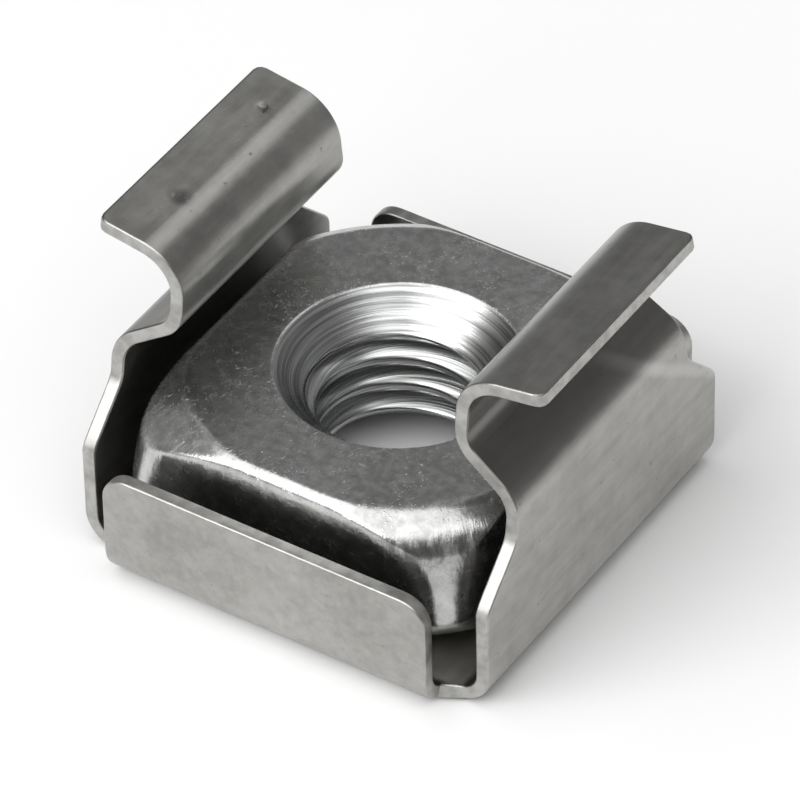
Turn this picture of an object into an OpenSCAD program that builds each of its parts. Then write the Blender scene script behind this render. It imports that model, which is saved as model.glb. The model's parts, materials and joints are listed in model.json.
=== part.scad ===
// Cage nut for a square-hole equipment rack: a square nut with an M6 thread lies loose in a
// folded spring-steel cage, and the two arms of the cage snap into a square panel hole.
// Origin: on the thread axis, in the underside of the cage. +Z: along the thread to the arms.
// X runs across the two spring arms, Y along them.

/* [Spring sheet] */
// Thickness of the spring-steel sheet
sheet_t = 0.45; // [0.35:0.05:0.7]
// Inside radius of the folds round the base
base_fold_r = 0.65; // [0.4:0.05:0.9]

/* [Cage base] */
// Play between the nut and the cage on each of the four sides
nut_play = 0.75; // [0.4:0.05:1.2]
// Height of the end flanges above the underside
flange_h = 4.0; // [2.5:0.1:5]
// Radius of the top corners of the end flanges
flange_corner_r = 0.85; // [0.3:0.05:1.2]
// Notch between an end flange and the fold of a side wall
corner_relief = 0.35; // [0.2:0.05:0.8]
// Reach of the flat web past the folds at each corner of the base
corner_web = 0.35; // [0.1:0.05:0.6]
// Diameter of the hole in the base
base_hole_d = 8.6; // [7.5:0.1:9.4]
// Radius rolled on the outer rim of the base hole
base_hole_roll = 0.3; // [0.1:0.05:0.35]

/* [Spring arms] */
// Room above the nut before the arms fold inwards
head_room = 0.45; // [0.1:0.05:1.5]
// Width of an arm at its root
arm_root_l = 9.4; // [8:0.1:11]
// Width of an arm at the lip, which passes the panel hole
arm_lip_l = 8.4; // [7:0.1:9.3]
// Straight part of an arm between the shoulders and its first fold
arm_root_run = 0.55; // [0.2:0.05:1.5]
// Angle by which the arms fold inwards over the nut
arm_in_angle = 56; // [40:1:65]
// Inside radius of the inward fold
arm_in_r = 1.0; // [0.5:0.05:1.5]
// Flat length that leans in over the nut
arm_in_run = 1.15; // [0.6:0.05:1.8]
// Inside radius of the fold at the waist of an arm
arm_waist_r = 0.75; // [0.4:0.05:1.2]
// Flat length that stands in the panel hole
arm_rise_run = 0.5; // [0.2:0.05:2]
// Inside radius of the fold that turns the lip outwards
lip_fold_r = 1.15; // [0.6:0.05:1.6]
// Angle between the lip and the thread axis
lip_angle = 81; // [60:1:88]
// Flat length of the lip
lip_run = 1.55; // [0.8:0.05:2.4]

/* [Square nut] */
// Nominal diameter of the thread
thread_d = 6; // [5:0.5:6.5]
// Pitch of the thread
thread_pitch = 1; // [0.5:0.05:1.25]
// Width of the nut between the side walls
nut_w = 11.6; // [9.5:0.1:12.5]
// Length of the nut between the end flanges
nut_l = 12.4; // [10:0.1:13]
// Height of the nut
nut_h = 4.85; // [4:0.05:6]
// Radius of the four upright corners of the nut
nut_corner_r = 1.0; // [0.5:0.05:1.8]
// Radius rolled on the top and bottom edges of the nut
nut_edge_r = 0.4; // [0.15:0.05:0.8]
// Diameter of the flat round left at each face by the corner chamfer
nut_crown_d = 12.5; // [11:0.1:13]
// Slope of the corner chamfer beside each face
nut_crown_angle = 30; // [20:1:45]
// Diameter at which the corner chamfer turns into the steep draft of the corner
nut_shoulder_d = 14.4; // [13.2:0.1:15]
// Draft of the corners away from the middle of the height
nut_draft_angle = 20; // [5:1:30]
// Diameter of the countersink at the top face
countersink_d = 7.4; // [6.8:0.1:8.4]
// Diameter of the countersink at the underside
foot_countersink_d = 6.8; // [6.4:0.1:8.4]

/* [Hidden] */
$fn = 96;
cut = 1; // overshoot of the cutting shapes
fuse_angle = 0.01; // a fold runs this far on into the flats beside it, so that they fuse

// Outer sizes of the cage, set by the nut and its play
cage_w = nut_w + 2 * (nut_play + sheet_t);
cage_l = nut_l + 2 * (nut_play + sheet_t);
base_fold_out = base_fold_r + sheet_t;
wall_l = cage_l - 2 * base_fold_out;
flange_l = cage_w - 2 * (base_fold_out + corner_relief);

// Heights up the arms
arm_fold_z = sheet_t + nut_h + head_room;
arm_root_z = arm_fold_z - arm_root_run;
shoulder_z = arm_root_z - (wall_l - arm_root_l) / 2;
waist_z = arm_fold_z + (arm_in_r + sheet_t / 2) * sin(arm_in_angle) + arm_in_run * cos(arm_in_angle);
rise_z = waist_z + (arm_waist_r + sheet_t / 2) * sin(arm_in_angle);
lip_z = rise_z + arm_rise_run;
arm_top_z = lip_z + (lip_fold_r + sheet_t) + lip_run;

// Thread of the nut
thread_minor_d = thread_d - 1.0825 * thread_pitch;

// ---- strip of sheet drawn in its own plane, each piece carrying on from the end of the last ----

module strip_run(length) {
    translate([-sheet_t / 2, 0])
        square([sheet_t, length]);
    translate([0, length])
        children();
}

// Folds towards -X where side is 1 and towards +X where it is -1
module strip_fold(inside_r, angle, side) {
    reach = 2 * (inside_r + sheet_t);
    end = angle + fuse_angle;
    translate([-side * (inside_r + sheet_t / 2), 0]) {
        intersection() {
            difference() {
                circle(r = inside_r + sheet_t);
                circle(r = inside_r);
            }
            polygon([
                [0, 0],
                [side * reach, -reach * sin(fuse_angle)],
                [side * reach, reach * tan(angle / 2)],
                [side * reach * cos(end), reach * sin(end)]
            ]);
        }
        rotate(side * angle)
            translate([side * (inside_r + sheet_t / 2), 0])
                children();
    }
}

// Side of the base from the middle to a fold, and the fold that starts a wall
module base_half(over) {
    square([over / 2 - base_fold_out, sheet_t]);
    translate([over / 2 - base_fold_out, sheet_t / 2])
        rotate(-90)
            strip_fold(base_fold_r, 90, 1)
                children();
}

// One arm, from the top of its base fold to the tip of the lip
module arm_strip() {
    strip_run(arm_fold_z - base_fold_out)
        strip_fold(arm_in_r, arm_in_angle, 1)
            strip_run(arm_in_run)
                strip_fold(arm_waist_r, arm_in_angle, -1)
                    strip_run(arm_rise_run)
                        strip_fold(lip_fold_r, lip_angle, -1)
                            strip_run(lip_run);
}

// Outline of a side wall and its arm as seen square to the wall
module arm_outline() {
    polygon([
        [-wall_l / 2, -cut],
        [wall_l / 2, -cut],
        [wall_l / 2, shoulder_z],
        [arm_root_l / 2, arm_root_z],
        [arm_lip_l / 2, lip_z],
        [arm_lip_l / 2, arm_top_z],
        [-arm_lip_l / 2, arm_top_z],
        [-arm_lip_l / 2, lip_z],
        [-arm_root_l / 2, arm_root_z],
        [-wall_l / 2, shoulder_z]
    ]);
}

// Outline of an end flange with its rounded top corners
module flange_outline() {
    translate([-flange_l / 2, -cut])
        square([flange_l, flange_h - flange_corner_r + cut]);
    translate([flange_corner_r - flange_l / 2, -cut])
        square([flange_l - 2 * flange_corner_r, flange_h + cut]);
    for (side = [-1, 1])
        translate([side * (flange_l / 2 - flange_corner_r), flange_h - flange_corner_r])
            circle(r = flange_corner_r);
}

module along_y(length) {
    translate([0, length / 2, 0])
        rotate([90, 0, 0])
            linear_extrude(length)
                children();
}

module along_x(length) {
    translate([-length / 2, 0, 0])
        rotate([90, 0, 90])
            linear_extrude(length)
                children();
}

module side_walls() {
    intersection() {
        along_y(wall_l)
            for (side = [0, 1])
                mirror([side, 0])
                    base_half(cage_w)
                        arm_strip();
        along_x(cage_w + 4 * lip_run)
            arm_outline();
    }
}

module end_flanges() {
    intersection() {
        along_x(flange_l)
            for (side = [0, 1])
                mirror([side, 0])
                    base_half(cage_l)
                        strip_run(flange_h - base_fold_out);
        along_y(cage_l)
            flange_outline();
    }
}

// Hole in the base, with its outer rim rolled inwards
module base_hole() {
    rim_r = base_hole_d / 2;
    rotate_extrude()
        difference() {
            translate([0, -cut])
                square([rim_r + base_hole_roll, sheet_t + 2 * cut]);
            translate([rim_r, base_hole_roll])
                square([base_hole_roll + cut, sheet_t + 2 * cut]);
            translate([rim_r + base_hole_roll, base_hole_roll])
                circle(r = base_hole_roll);
        }
}

// Flat webs that join the wall folds to the flange folds at the corners of the base
module corner_webs() {
    fold_x = cage_w / 2 - base_fold_out;
    fold_y = wall_l / 2;
    for (x = [0, 1], y = [0, 1])
        mirror([x, 0, 0])
            mirror([0, y, 0])
                linear_extrude(sheet_t)
                    polygon([
                        [flange_l / 2, fold_y - corner_relief],
                        [fold_x, fold_y],
                        [fold_x + corner_web, fold_y],
                        [flange_l / 2, fold_y + corner_web]
                    ]);
}

module spring_cage() {
    color("silver")
        difference() {
            union() {
                side_walls();
                end_flanges();
                corner_webs();
            }
            base_hole();
        }
}

// Side view of the nut across a given width, with its rolled edges
module nut_side(width) {
    translate([-width / 2, nut_edge_r])
        square([width, nut_h - 2 * nut_edge_r]);
    translate([nut_edge_r - width / 2, 0])
        square([width - 2 * nut_edge_r, nut_h]);
    for (side = [-1, 1], z = [nut_edge_r, nut_h - nut_edge_r])
        translate([side * (width / 2 - nut_edge_r), z])
            circle(r = nut_edge_r);
}

module nut_plan() {
    straight_w = nut_w - 2 * nut_corner_r;
    straight_l = nut_l - 2 * nut_corner_r;
    square([nut_w, straight_l], center = true);
    square([straight_w, nut_l], center = true);
    for (x = [-1, 1], y = [-1, 1])
        translate([x * straight_w / 2, y * straight_l / 2])
            circle(r = nut_corner_r);
}

// Turned shape that chamfers the corners at both faces and drafts them to mid height
module nut_crown() {
    crown_r = nut_crown_d / 2;
    shoulder_r = nut_shoulder_d / 2;
    drop = (shoulder_r - crown_r) * tan(nut_crown_angle);
    rotate_extrude()
        polygon([
            [0, 0],
            [crown_r, 0],
            [shoulder_r, drop],
            [shoulder_r + (nut_h / 2 - drop) * tan(nut_draft_angle), nut_h / 2],
            [shoulder_r, nut_h - drop],
            [crown_r, nut_h],
            [0, nut_h]
        ]);
}

module nut_bore() {
    minor_r = thread_minor_d / 2;
    rotate_extrude()
        polygon([
            [0, -cut],
            [foot_countersink_d / 2 + cut, -cut],
            [minor_r, foot_countersink_d / 2 - minor_r],
            [minor_r, nut_h - (countersink_d / 2 - minor_r)],
            [countersink_d / 2 + cut, nut_h + cut],
            [0, nut_h + cut]
        ]);
}

module square_nut() {
    color("gainsboro")
        translate([0, 0, sheet_t])
            difference() {
                intersection() {
                    linear_extrude(nut_h)
                        nut_plan();
                    along_y(nut_l)
                        nut_side(nut_w);
                    along_x(nut_w)
                        nut_side(nut_l);
                    nut_crown();
                }
                nut_bore();
            }
}

spring_cage();
square_nut();
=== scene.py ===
import json
import math

import bmesh
import bpy
import numpy as np
from mathutils import Matrix, Vector


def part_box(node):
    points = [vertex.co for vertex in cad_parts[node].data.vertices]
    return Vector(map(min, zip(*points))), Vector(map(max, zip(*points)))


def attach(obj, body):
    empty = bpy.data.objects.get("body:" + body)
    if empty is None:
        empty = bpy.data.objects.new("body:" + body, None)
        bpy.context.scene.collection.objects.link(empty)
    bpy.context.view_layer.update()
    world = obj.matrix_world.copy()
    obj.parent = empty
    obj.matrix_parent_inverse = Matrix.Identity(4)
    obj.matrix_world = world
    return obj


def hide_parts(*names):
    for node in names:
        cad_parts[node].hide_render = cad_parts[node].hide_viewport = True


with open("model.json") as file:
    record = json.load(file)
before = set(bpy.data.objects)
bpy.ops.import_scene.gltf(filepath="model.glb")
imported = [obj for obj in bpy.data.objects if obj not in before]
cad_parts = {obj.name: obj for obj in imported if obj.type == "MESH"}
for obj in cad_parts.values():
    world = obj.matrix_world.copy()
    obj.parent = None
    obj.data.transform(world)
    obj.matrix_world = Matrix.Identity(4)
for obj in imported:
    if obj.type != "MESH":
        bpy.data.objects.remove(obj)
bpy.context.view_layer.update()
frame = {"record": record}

MM = 0.001


# ---- Spring cage ----
# One blank of spring steel: pierced, sheared to its outline, folded up round the nut and
# hardened. The sheet keeps its satin skin, and its sheared edges are tumbled round.

SHEET = 0.45
HALF_W, HALF_L = 5.9, 6.3
FLANGE_HALF = 5.55
HOLE_R = 4.3
HOLE_ROLL = 0.3
EDGE_ROLL = 0.07
BASE_FOLD = (0.65, 90)
WEB_STEPS = np.linspace(0, 0.35, 5)


def folded_line(start, bends, step):
    """Walks the middle of a strip outwards and up: each bend is a length or (inside radius, degrees)."""
    run, out, height, heading = 0.0, start, SHEET / 2, 0.0
    line = [(run, out, height, heading)]
    for bend in bends:
        radius, turn = (bend[0] + SHEET / 2, math.radians(bend[1])) if isinstance(bend, tuple) else (0, 0)
        length = radius * abs(turn) if turn else bend
        count = math.ceil(length / (step / 2 if turn else step))
        marks = np.linspace(0, length, count + 1)[1:]
        if run == 0:
            marks = [*WEB_STEPS[1:], *np.linspace(WEB_STEPS[-1], length, 12)[1:]]
        done = 0.0
        for mark in marks:
            part = mark - done
            swing = turn * part / length
            chord = part * math.sin(swing / 2) / (swing / 2) if turn else part
            out += chord * math.cos(heading + swing / 2)
            height += chord * math.sin(heading + swing / 2)
            heading += swing
            run, done = run + part, mark
            line.append((run, out, height, heading))
    return np.array(line)


def outlined(line, heights, widths, ease, corner, parts):
    """Rows of a strip: its line with the half width at each point, and the round corners of its tip.

    The last number of a row is how far its two ends run ahead of its middle."""
    run = line[:, 0]
    width = np.zeros(len(line))
    for shift in np.linspace(-ease, ease, 9):
        width += np.interp(np.interp(run + shift, run, line[:, 2]), heights, widths) / 9
    rows = [(*point, half, 0.0) for point, half in zip(line, width)]
    run, out, height, heading, half, _ = rows[-1]
    for k in range(1, parts + 1):
        swing = math.radians(90) * k / parts
        on = corner * k / parts
        rows.append((run + on, out + on * math.cos(heading), height + on * math.sin(heading), heading,
                     half - corner * (1 - math.cos(swing)), corner * math.sin(swing) - on))
    return rows


class Blank:
    """The folded blank as a net of points on the middle of the sheet."""

    def __init__(self):
        self.places, self.inward, self.sunk, self.faces, self.known = [], [], [], [], {}

    @staticmethod
    def spot(x, y):
        """Key of a point of the flat blank, in thousandths of a millimetre."""
        return math.floor(x * 1000 + 0.53), math.floor(y * 1000 + 0.53)

    def point(self, x, y, place, inward, sunk=(0, 0, 0, 0)):
        key = self.spot(x, y)
        if key not in self.known:
            self.known[key] = len(self.places)
            self.places.append(place)
            self.inward.append(inward)
            self.sunk.append(sunk)
        return self.known[key]

    def net(self, rows):
        for low, high in zip(rows, rows[1:]):
            for a, b, c, d in zip(low, low[1:], high[1:], high):
                across = np.array(self.places[c]) - self.places[a]
                along = np.array(self.places[d]) - self.places[b]
                wound = np.dot(np.cross(across, along), self.inward[a]) > 0
                self.faces.append((a, b, c, d) if wound else (d, c, b, a))


def pressed_in(marks, run, along):
    """How deep the marks sink a point of the inner face, and how they tilt it along and across."""
    sink = lean_run = lean_along = 0.0
    for at_run, at_along, long, wide, depth in marks:
        du, dv = (run - at_run) / long, (along - at_along) / wide
        part = depth * math.exp(-(du * du + dv * dv))
        sink -= part
        lean_run -= 2 * du / long * part
        lean_along -= 2 * dv / wide * part
    return sink, lean_run, lean_along


def strip(blank, rows, columns, start, lay, marks=()):
    """Lays one side of the blank: lay turns (out, along, height) towards that side."""
    net = []
    for run, out, height, heading, half, ahead in rows:
        level, rise = math.cos(heading), math.sin(heading)
        net.append([])
        for column in columns:
            on = ahead if abs(column) == 1 else 0.0
            along = half * column
            sink, lean_run, lean_along = pressed_in(marks, run + on, along)
            place = lay(out + on * level, along, height + on * rise)
            tilt = lay(lean_run * level, lean_along, lean_run * rise)
            x, y, _ = lay(start + run + on, along, 0)
            net[-1].append(blank.point(x, y, place, lay(-rise, 0, level), (sink, *tilt)))
    blank.net(net)


def unit(vectors):
    return vectors / np.linalg.norm(vectors, axis=-1, keepdims=True)


def thickened(blank, name):
    """The sheet's two faces and its rounded edges, from the net on its middle."""
    places, inward = np.array(blank.places), unit(np.array(blank.inward))
    sunk = np.array(blank.sunk)
    sides = {(a, b) for face in blank.faces for a, b in zip(face, face[1:] + face[:1])}
    after = {a: b for a, b in sides if (b, a) not in sides}
    outward = {}
    for a, b in after.items():
        c = after[b]
        edges = unit(places[[b, c]] - places[[a, b]])
        first, second = np.cross(edges[0], inward[b]), np.cross(edges[1], inward[b])
        middle = unit(first + second)
        outward[b] = middle / max(0.5, middle @ first)
    verts, normals, rings = [], [], {}
    angles = np.radians([0, 30, 60, 90])

    def add(place, normal):
        verts.append(place)
        normals.append(normal)
        return len(verts) - 1

    for i, (place, up, mark) in enumerate(zip(places, inward, sunk)):
        if i not in outward:
            rings[i] = [add(place + up * (SHEET / 2 + mark[0]), up + mark[1:]), add(place - up * SHEET / 2, -up)]
            continue
        out, ring = outward[i], []
        hole = math.hypot(place[0], place[1]) < HOLE_R + 0.01
        for side, roll in ((1, EDGE_ROLL), (-1, HOLE_ROLL if hole else EDGE_ROLL)):
            for angle in angles[::side]:
                reach = roll * (math.sin(angle) - 1)
                rise = SHEET / 2 - roll + roll * math.cos(angle)
                ring.append(add(place + out * reach + up * side * rise,
                                unit(out) * math.sin(angle) + up * side * math.cos(angle)))
        rings[i] = ring
    faces = [tuple(rings[i][0] for i in face) for face in blank.faces]
    faces += [tuple(rings[i][-1] for i in reversed(face)) for face in blank.faces]
    skin = len(faces)
    kinds = []
    for a, b in after.items():
        for k in range(len(angles) * 2 - 1):
            faces.append((rings[a][k], rings[a][k + 1], rings[b][k + 1], rings[b][k]))
            kinds.append(1 if 1 < k < 5 else 0)
    data = bpy.data.meshes.new(name)
    data.from_pydata(np.array(verts) * MM, [], faces)
    data.polygons.foreach_set("use_smooth", [True] * len(faces))
    data.polygons.foreach_set("material_index", [0] * skin + kinds)
    data.normals_split_custom_set_from_vertices(unit(np.array(normals)))
    data.update()
    return data


def cage_blank():
    blank = Blank()
    arm = folded_line(HALF_W, [BASE_FOLD, 4.65, (1.0, 56), 1.15, (0.75, -56), 0.5, (1.15, -81), 1.25], 0.13)
    arm = outlined(arm, [3.6, 5.2, 8.717], [HALF_L, 4.7, 4.2], 0.2, 0.3, 3)
    flange = folded_line(HALF_L, [BASE_FOLD, 2.05], 0.15)
    flange = outlined(flange, [0, 9], [FLANGE_HALF, FLANGE_HALF], 0, 0.85, 8)
    arm_columns = [-1, *np.linspace(-0.972, 0.972, 57), 1]
    flange_columns = [-1, *np.linspace(-0.972, 0.972, 33), 1]
    lip_marks = {-1: [(12.18, 2.71, 0.13, 0.13, 0.05), (11.98, -1.95, 0.2, 0.3, 0.015)], 1: []}
    for side in (1, -1):
        strip(blank, arm, arm_columns, HALF_W, lambda o, a, h: (side * o, a, h), lip_marks[side])
        strip(blank, flange, flange_columns, HALF_L, lambda o, a, h: (a, side * o, h))

    corner = np.linspace(FLANGE_HALF, HALF_W, 4)
    for x in (1, -1):
        for y in (1, -1):
            rows = []
            for run in WEB_STEPS:
                low = blank.known[blank.spot(x * FLANGE_HALF, y * (HALF_L + run))]
                high = blank.known[blank.spot(x * (HALF_W + run), y * HALF_L)]
                row = [low]
                for part in (1 / 3, 2 / 3):
                    place = np.array(blank.places[low]) * (1 - part) + np.array(blank.places[high]) * part
                    inward = np.array(blank.inward[low]) * (1 - part) + np.array(blank.inward[high]) * part
                    row.append(blank.point(place[0], place[1], tuple(place), tuple(inward)))
                rows.append([*row, high])
            blank.net(rows)

    edge = [(HALF_W, HALF_L * c) for c in arm_columns]
    edge += [(x, HALF_L) for x in corner[-2:0:-1]]
    edge += [(FLANGE_HALF * c, HALF_L) for c in reversed(flange_columns)]
    edge += [(-x, HALF_L) for x in corner[1:-1]]
    edge = np.array(edge + [(-x, -y) for x, y in edge])
    rim = HOLE_R * unit(edge)
    rings = []
    for part in (0, 0.26, 0.42, 0.6, 0.8, 1):
        ring = [blank.point(x, y, (x, y, SHEET / 2), (0, 0, 1)) for x, y in rim + (edge - rim) * part]
        rings.append([*ring, ring[0]])
    blank.net(rings)
    return blank


class Value:
    """A shader socket that can be used in a sum: each operator adds its Math node."""

    def __init__(self, socket):
        self.socket = socket
        self.tree = socket.id_data

    def math(self, operation, *others, clamp=False):
        made = self.tree.nodes.new("ShaderNodeMath")
        made.operation = operation
        made.use_clamp = clamp
        for slot, value in zip(made.inputs, (self, *others)):
            connect(slot, value)
        return Value(made.outputs[0])

    def __add__(self, other):
        return self.math("ADD", other)

    def __sub__(self, other):
        return self.math("SUBTRACT", other)

    def __mul__(self, other):
        return self.math("MULTIPLY", other)

    def __rsub__(self, other):
        return (self * -1) + other

    def __gt__(self, other):
        return self.math("GREATER_THAN", other)

    def __lt__(self, other):
        return self.math("LESS_THAN", other)

    def __abs__(self):
        return self.math("ABSOLUTE")

    __radd__ = __add__
    __rmul__ = __mul__

    def rise(self, low, high):
        """0 below low and 1 above high, with a soft ramp between."""
        made = self.tree.nodes.new("ShaderNodeMapRange")
        made.interpolation_type = "SMOOTHSTEP"
        for slot, value in zip(made.inputs, (self, low, high, 0, 1)):
            connect(slot, value)
        return Value(made.outputs[0])


def connect(slot, value):
    if isinstance(value, Value):
        slot.id_data.links.new(value.socket, slot)
    else:
        slot.default_value = value


class Finish:
    """A metal finish: a material and the nodes that make it, measured in millimetres."""

    def __init__(self, name):
        self.material = bpy.data.materials.new(name)
        self.material.use_nodes = True
        self.tree = self.material.node_tree
        self.shader = self.tree.nodes["Principled BSDF"]
        place = self.node("ShaderNodeTexCoord", output="Object")
        self.place = self.node("ShaderNodeVectorMath", {"operation": "SCALE"}, {0: place, "Scale": 1 / MM})
        self.x, self.y, self.z = self.split(self.place)
        facing = self.node("ShaderNodeNewGeometry", output="True Normal")
        self.facing_x, self.facing_y, self.facing_z = self.split(facing)

    def node(self, kind, settings=None, sockets=None, output=0):
        made = self.tree.nodes.new(kind)
        for name, value in (settings or {}).items():
            setattr(made, name, value)
        for name, value in (sockets or {}).items():
            connect(made.inputs[name], value)
        return Value(made.outputs[output])

    def split(self, vector):
        made = self.tree.nodes.new("ShaderNodeSeparateXYZ")
        connect(made.inputs[0], vector)
        return [Value(out) for out in made.outputs]

    def join(self, x, y, z):
        return self.node("ShaderNodeCombineXYZ", None, {0: x, 1: y, 2: z})

    def far(self, point):
        """Distance in millimetres from a point of the object."""
        return self.node("ShaderNodeVectorMath", {"operation": "DISTANCE"}, {0: self.place, 1: point}, output="Value")

    def noise(self, vector, scale, detail=2, roughness=0.5):
        return self.node("ShaderNodeTexNoise", None,
                         {"Vector": vector, "Scale": scale, "Detail": detail, "Roughness": roughness})

    def mix(self, factor, first, second):
        return self.node("ShaderNodeMix", {"data_type": "RGBA"}, {0: factor, 6: first, 7: second}, output=2)

    def set(self, **sockets):
        for name, value in sockets.items():
            connect(self.shader.inputs[name.replace("_", " ")], value)

    def bump(self, height, depth):
        """Bump whose height of 1 stands for a real depth in millimetres."""
        normal = self.node("ShaderNodeBump", None, {"Strength": 1.0, "Distance": depth * MM, "Height": height})
        self.set(Normal=normal)


def spring_steel():
    skin_dark = (0.30, 0.295, 0.28, 1)
    skin_light = (0.46, 0.455, 0.435, 1)
    # pit colour, also used for the painted shade in the arms' throats
    pit_and_shade_colour = (0.12, 0.117, 0.11, 1)
    # colour of the painted highlight line on the right arm
    highlight_colour = (0.66, 0.655, 0.64, 1)
    steel = Finish("spring_steel_satin")
    rolled = steel.noise(steel.join(steel.x * 3.5, steel.y * 0.35, steel.z * 3.5), 1.0, 3, 0.6)
    cloud = steel.noise(steel.place, 0.45, 3, 0.55)
    patches = steel.noise(steel.place, 1.7, 4, 0.6)
    grain = steel.noise(steel.place, 11, 2, 0.6)
    pits = steel.noise(steel.place, 4.2, 2, 0.55).rise(0.71, 0.76)
    tone = (cloud * 0.4 + patches * 0.3 + rolled * 0.3).rise(0.28, 0.72)
    stain = 1 - steel.far(Vector((-6.18, -1.95, 10.33))).rise(0.12, 0.5)
    outer = steel.x * steel.facing_x > 0
    # painted shade: the outer face of each arm's throat, above about 6.3 mm, is darkened towards the pit colour
    painted_throat_shade = outer * (steel.z + cloud * 0.6).rise(6.3, 7.4)
    # painted highlight: a light diagonal line across the outer face of the right arm, in colour only
    highlight_line_offset = abs(steel.z - 7.8 + (steel.y - 0.6) * 0.736)
    painted_highlight_line = (1 - highlight_line_offset.rise(0.06, 0.4)) * outer * (steel.x > 0) * steel.y.rise(0.3, 3.2)
    skin = steel.mix(tone, skin_dark, skin_light)
    skin = steel.mix(painted_throat_shade * (0.55 + patches * 0.3), skin, pit_and_shade_colour)
    skin = steel.mix(painted_highlight_line * 0.4, skin, highlight_colour)
    skin = steel.mix(stain * patches.rise(0.3, 0.5) * 0.8, skin, pit_and_shade_colour)
    steel.set(Base_Color=steel.mix(pits * 0.4, skin, pit_and_shade_colour), Metallic=1.0,
              Roughness=0.22 + cloud * 0.1 + patches * 0.1 + pits * 0.2)
    steel.bump(grain * 0.35 + rolled * 0.5 + patches * 0.9 - pits * 0.6, 0.006)
    return steel.material


def sheared_steel():
    dull = (0.34, 0.336, 0.322, 1)
    bright = (0.5, 0.495, 0.478, 1)
    edge = Finish("spring_steel_sheared")
    drag = edge.noise(edge.place, 2.2, 3, 0.55)
    edge.set(Base_Color=edge.mix(drag.rise(0.3, 0.7), dull, bright), Metallic=1.0,
             Roughness=0.34 + drag * 0.16)
    edge.bump(drag, 0.012)
    return edge.material


cage = bpy.data.objects.new("folded_spring_cage", thickened(cage_blank(), "folded_sheet"))
bpy.context.scene.collection.objects.link(cage)
cage.data.materials.append(spring_steel())
cage.data.materials.append(sheared_steel())
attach(cage, "root")
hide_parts("spring_cage")


# ---- Square nut ----
# Cold-forged from steel bar, with chamfered and drafted corners and rolled edges, tapped M6
# and zinc-plated. It lies loose on the base of the cage.

class NutForm:
    """The nut's skin as distances in millimetres, below 0 inside the metal."""
    corner_r = 1.0
    edge_r = 0.4
    crown_r = 6.25
    crown_slope = math.radians(30)
    shoulder_r = 7.2
    full_corner = math.atan2(-6.2, -5.8)
    fuller_by = 0.42
    head_draft = math.radians(20)
    foot_draft = math.radians(36)
    top_mouth_r = 3.7
    foot_mouth_r = 3.4
    mouth_roll = 0.14
    thread_end_r = 3.05
    pitch = 1.0
    groove = 0.5413

    def __init__(self):
        low, high = (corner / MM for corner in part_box("square_nut"))
        thread = next(m for m in frame["record"]["mounts"] if m["name"] == "thread")
        self.half_w, self.half_l = high.x, high.y
        self.foot_z, self.top_z = low.z, high.z
        self.middle_z = (low.z + high.z) / 2
        self.half_h = (high.z - low.z) / 2
        self.minor_r = thread["dims"]["r_mm"]

    @staticmethod
    def rolled(first, second, radius):
        """The larger of two distances, with the edge where they cross rolled over."""
        over = np.hypot(np.maximum(first + radius, 0), np.maximum(second + radius, 0))
        return np.minimum(np.maximum(first, second), -radius) + over

    def outside(self, x, y, z):
        out_x = np.abs(x) - (self.half_w - self.corner_r)
        out_y = np.abs(y) - (self.half_l - self.corner_r)
        side = np.hypot(np.maximum(out_x, 0), np.maximum(out_y, 0)) - self.corner_r
        side = side + np.minimum(np.maximum(out_x, out_y), 0)
        over, under = z - self.top_z, self.foot_z - z
        rise = np.maximum(over, under)
        r = np.hypot(x, y)
        crown = (r - self.crown_r) * math.sin(self.crown_slope) + rise * math.cos(self.crown_slope)
        near_full = np.maximum(np.cos(np.arctan2(y, x) - self.full_corner), 0) ** 8
        shoulder = self.shoulder_r + self.fuller_by * near_full
        drop = (shoulder - self.crown_r) * math.tan(self.crown_slope)
        head = (r - shoulder) * math.cos(self.head_draft) + (over + drop) * math.sin(self.head_draft)
        foot = (r - shoulder) * math.cos(self.foot_draft) + (under + drop) * math.sin(self.foot_draft)
        body = self.rolled(self.rolled(side, rise, self.edge_r), crown, 0.1)
        return self.rolled(body, self.rolled(head, foot, 0.25), 0.35)

    def bore(self, turn, z):
        """Radius of the tapped hole at a height and an angle, up to where the countersinks take over."""
        phase = np.abs((z / self.pitch - turn / math.tau + 0.5) % 1 - 0.5)
        depth = np.clip((phase - 1 / 8) / (5 / 16), 0, 1) * self.groove * self.pitch
        top_cone = self.top_mouth_r - (self.top_z - z)
        foot_cone = self.foot_mouth_r - (z - self.foot_z)
        return np.maximum(self.minor_r + depth, np.maximum(top_cone, foot_cone))

    def mouth(self, face_z, mouth_r, out):
        """Rings of a countersink, from the end of the thread to the face, with its rim rolled."""
        cone = [(r, face_z - out * (mouth_r - r)) for r in np.linspace(self.thread_end_r, mouth_r - 0.1, 7)]
        reach = self.mouth_roll * math.tan(math.radians(22.5))
        rim = [(mouth_r + reach - self.mouth_roll * math.sin(a), face_z - out * self.mouth_roll * (1 - math.cos(a)))
               for a in np.radians([45, 30, 15, 0])]
        return [*cone, *rim, (mouth_r + 0.1, face_z)]


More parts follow.
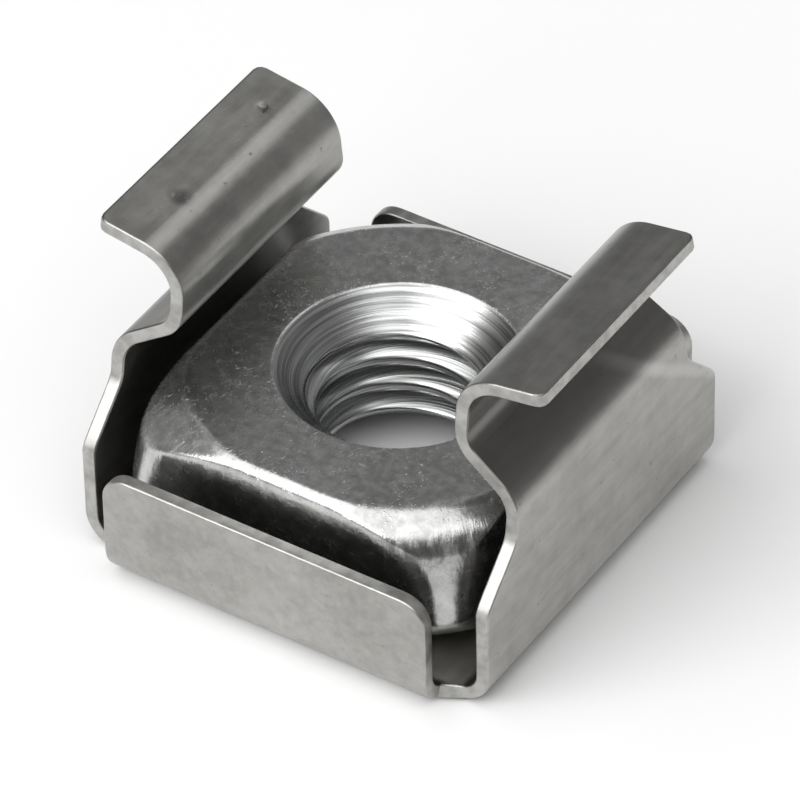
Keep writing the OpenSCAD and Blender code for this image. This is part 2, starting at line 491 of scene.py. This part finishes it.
def nut_mesh(form):
    columns = 320
    step = np.linspace(0, math.tau, columns, endpoint=False)
    turn = step + 0.12 * np.sin(4 * step)
    ring_r = 4.9
    mouths = [math.atan2(form.half_h, form.top_mouth_r + 0.2 - ring_r),
              math.atan2(-form.half_h, form.foot_mouth_r + 0.2 - ring_r)]
    stops = np.radians([78, 26, -26, -78])
    counts = [14, 58, 18, 58, 14]
    edges = [mouths[0], *stops, mouths[1]]
    sweep = np.concatenate([np.linspace(a, b, n, endpoint=False)
                            for a, b, n in zip(edges, edges[1:], counts)])
    across, up = np.cos(sweep)[:, None], np.sin(sweep)[:, None]
    near, far = np.zeros((len(sweep), columns)), np.full((len(sweep), columns), 5.0)
    for _ in range(30):
        reach = (near + far) / 2
        r, z = ring_r + reach * across, form.middle_z + reach * up
        within = form.outside(r * np.cos(turn), r * np.sin(turn), z) < 0
        near, far = np.where(within, reach, near), np.where(within, far, reach)
    skin = np.stack([r * np.cos(turn), r * np.sin(turn), z], -1)

    phases = np.array([-0.095, -0.03, 0.03, 0.095, 0.155, 0.22, 0.30, 0.38,
                       0.43, 0.475, 0.525, 0.57, 0.62, 0.70, 0.78, 0.845])
    first = math.floor(form.foot_z) - 2
    turns = range(first, math.ceil(form.top_z) + 1)
    heights = np.concatenate([phases + n for n in turns])[:, None] * form.pitch
    thread_foot = form.foot_z + form.foot_mouth_r - form.thread_end_r
    thread_top = form.top_z - form.top_mouth_r + form.thread_end_r
    z = np.clip(heights + form.pitch * turn / math.tau, thread_foot, thread_top)
    r = form.bore(turn, z)
    wall = np.stack([r * np.cos(turn), r * np.sin(turn), z], -1)

    mesh = bmesh.new()

    def ring(r, z):
        return [mesh.verts.new(p) for p in np.stack([r * np.cos(turn), r * np.sin(turn), z + 0 * turn], -1) * MM]

    skin_verts = [[mesh.verts.new(p) for p in row] for row in skin * MM]
    wall_verts = [[mesh.verts.new(p) for p in row] for row in wall * MM]
    around = [(i, (i + 1) % columns) for i in range(columns)]
    top = [ring(r, z) for r, z in form.mouth(form.top_z, form.top_mouth_r, 1)[1:]]
    foot = [ring(r, z) for r, z in form.mouth(form.foot_z, form.foot_mouth_r, -1)[1:]]
    loop = [wall_verts[-1], *top, *skin_verts, *reversed(foot), wall_verts[0]]
    for low, high in zip(loop, loop[1:]):
        for i, j in around:
            mesh.faces.new((low[i], low[j], high[j], high[i]))
    lead = len(phases)
    for k in range(len(wall_verts) - 1):
        for i, j in around:
            shift = 0 if j else lead
            if k + 1 + shift < len(wall_verts):
                low, high = wall_verts[k], wall_verts[k + 1]
                low_j, high_j = wall_verts[k + shift], wall_verts[k + 1 + shift]
                mesh.faces.new((low[i], low_j[j], high_j[j], high[i]))
    bmesh.ops.remove_doubles(mesh, verts=mesh.verts, dist=0.002 * MM)
    bmesh.ops.recalc_face_normals(mesh, faces=mesh.faces)
    for face in mesh.faces:
        face.smooth = True
    data = bpy.data.meshes.new("tapped_nut")
    mesh.to_mesh(data)
    mesh.free()
    return data


def zinc_plate(form):
    plate_dark = (0.40, 0.402, 0.394, 1)
    plate_light = (0.62, 0.622, 0.615, 1)
    bright = (0.82, 0.825, 0.82, 1)
    ring_light = (0.62, 0.63, 0.625, 1)
    ring_dark = (0.24, 0.245, 0.24, 1)
    # colour of the painted shade band below the corner ridge
    shade_band_colour = (0.14, 0.14, 0.135, 1)
    zinc = Finish("zinc_plate_bright")
    cloud = zinc.noise(zinc.place, 0.3, 2, 0.5)
    frost = zinc.noise(zinc.place, 3.0, 4, 0.62)
    below = form.top_z - zinc.z
    fleck = zinc.noise(zinc.place, 9, 2, 0.55)
    nicks = fleck.rise(0.56, 0.78) * zinc.noise(zinc.place, 0.7, 3, 0.6).rise(0.36, 0.62)
    nicks = nicks * (1 - below.rise(0.3, 0.9) * 0.85)
    drift = zinc.join(zinc.x * 0.5 + zinc.y * 0.35, zinc.y * 5 - zinc.x * 7, zinc.z * 2)
    scratches = zinc.noise(drift, 1.0, 2, 0.5).rise(0.64, 0.72) * cloud.rise(0.4, 0.6)
    radius = (zinc.x * zinc.x + zinc.y * zinc.y).math("SQRT")
    in_bore = 1 - radius.rise(form.top_mouth_r - 0.06, form.top_mouth_r)
    turned = zinc.noise(zinc.join(zinc.x * 0.12, zinc.y * 0.12, zinc.z * 12), 1.0, 3, 0.7)
    around = zinc.y.math("ARCTAN2", zinc.x)
    forged = radius.rise(form.crown_r + 0.1, form.crown_r + 0.4) * below.rise(0.1, 0.5) * (1 - below.rise(1.3, 1.9))
    dragged = zinc.noise(zinc.join(around * 30, zinc.z * 0.9, radius * 0.5), 1.0, 3, 0.65)
    skin = zinc.mix((cloud * 0.35 + frost * 0.65).rise(0.32, 0.68), plate_dark, plate_light)
    skin = zinc.mix((nicks * 0.5 + scratches * 0.3).math("MINIMUM", 1), skin, bright)
    # painted shade: a dark band on the drafted face just below the ridge of the +X corners, its edge broken up by the
    # drag noise
    painted_shade_band = radius.rise(6.9, 7.15) * below.rise(0.42, 0.6) * (1 - below.rise(0.85, 1.4)) * zinc.x.rise(0, 2)
    skin = zinc.mix(painted_shade_band * dragged.rise(0.34, 0.58) * 0.85, skin, shade_band_colour)
    rings = zinc.mix(turned.rise(0.35, 0.62), ring_dark, ring_light)
    zinc.set(Base_Color=zinc.mix(in_bore, skin, rings), Metallic=1.0,
             Roughness=0.19 + (frost * 0.14 + nicks * 0.15) * (1 - in_bore) + in_bore * 0.06)
    zinc.bump((frost * 0.6 + nicks * 0.6) * (1 - in_bore) + turned * in_bore * 0.9 + dragged * forged * 1.6, 0.014)
    return zinc.material


form = NutForm()
nut = bpy.data.objects.new("tapped_square_nut", nut_mesh(form))
bpy.context.scene.collection.objects.link(nut)
nut.data.materials.append(zinc_plate(form))
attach(nut, "root")
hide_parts("square_nut")


# ---- Floor, light and camera ----
# A plain white sweep, two soft boxes and a dim room, seen from above the near corner.

def sweep():
    bpy.ops.mesh.primitive_plane_add(size=3, location=(0, 0, -0.02 * MM))
    floor = bpy.context.object
    floor.name = "floor"
    paper = Finish("white_paper")
    paper.set(Base_Color=(0.9, 0.9, 0.9, 1), Roughness=0.9)
    floor.data.materials.append(paper.material)


def soft_box(name, azimuth, elevation, distance, width, height, watts):
    """A rectangular lamp that faces the object; its azimuth turns from -Y towards +X."""
    lamp = bpy.data.lights.new(name, "AREA")
    lamp.shape = "RECTANGLE"
    lamp.size, lamp.size_y = width, height
    lamp.energy = watts
    placed = bpy.data.objects.new(name, lamp)
    bpy.context.scene.collection.objects.link(placed)
    across = math.cos(elevation)
    towards = Vector((math.sin(azimuth) * across, -math.cos(azimuth) * across, math.sin(elevation)))
    placed.location = towards * distance
    placed.rotation_euler = towards.to_track_quat("Z", "Y").to_euler()


def view_from(azimuth, elevation, roll, distance, target, lens):
    back = Vector((math.sin(azimuth) * math.cos(elevation),
                   -math.cos(azimuth) * math.cos(elevation), math.sin(elevation)))
    level = Vector((math.cos(azimuth), math.sin(azimuth), 0))
    upright = back.cross(level)
    right = level * math.cos(roll) + upright * math.sin(roll)
    up = upright * math.cos(roll) - level * math.sin(roll)
    data = bpy.data.cameras.new("camera")
    data.lens = lens
    data.clip_start = 0.01
    camera = bpy.data.objects.new("camera", data)
    bpy.context.scene.collection.objects.link(camera)
    camera.matrix_world = Matrix.Translation(target + back * distance) @ Matrix((right, up, back)).transposed().to_4x4()
    bpy.context.scene.camera = camera


sweep()
soft_box("front_box", math.radians(-20), math.radians(35), 0.5, 0.52, 0.34, 1.7)
soft_box("back_box", math.radians(170), math.radians(54), 0.5, 0.26, 0.14, 0.13)
soft_box("key_box", math.radians(0), math.radians(72), 0.55, 0.9, 0.56, 2.6)
world = bpy.data.worlds.new("room")
world.use_nodes = True
world.node_tree.nodes["Background"].inputs["Color"].default_value = (0.255, 0.255, 0.255, 1)
bpy.context.scene.world = world
bpy.context.scene.view_settings.view_transform = "Standard"
view_from(math.radians(33.5), math.radians(40.95), math.radians(-1.22), 0.2193,
          Vector((0, 0, 3.92 * MM)), 337.5)
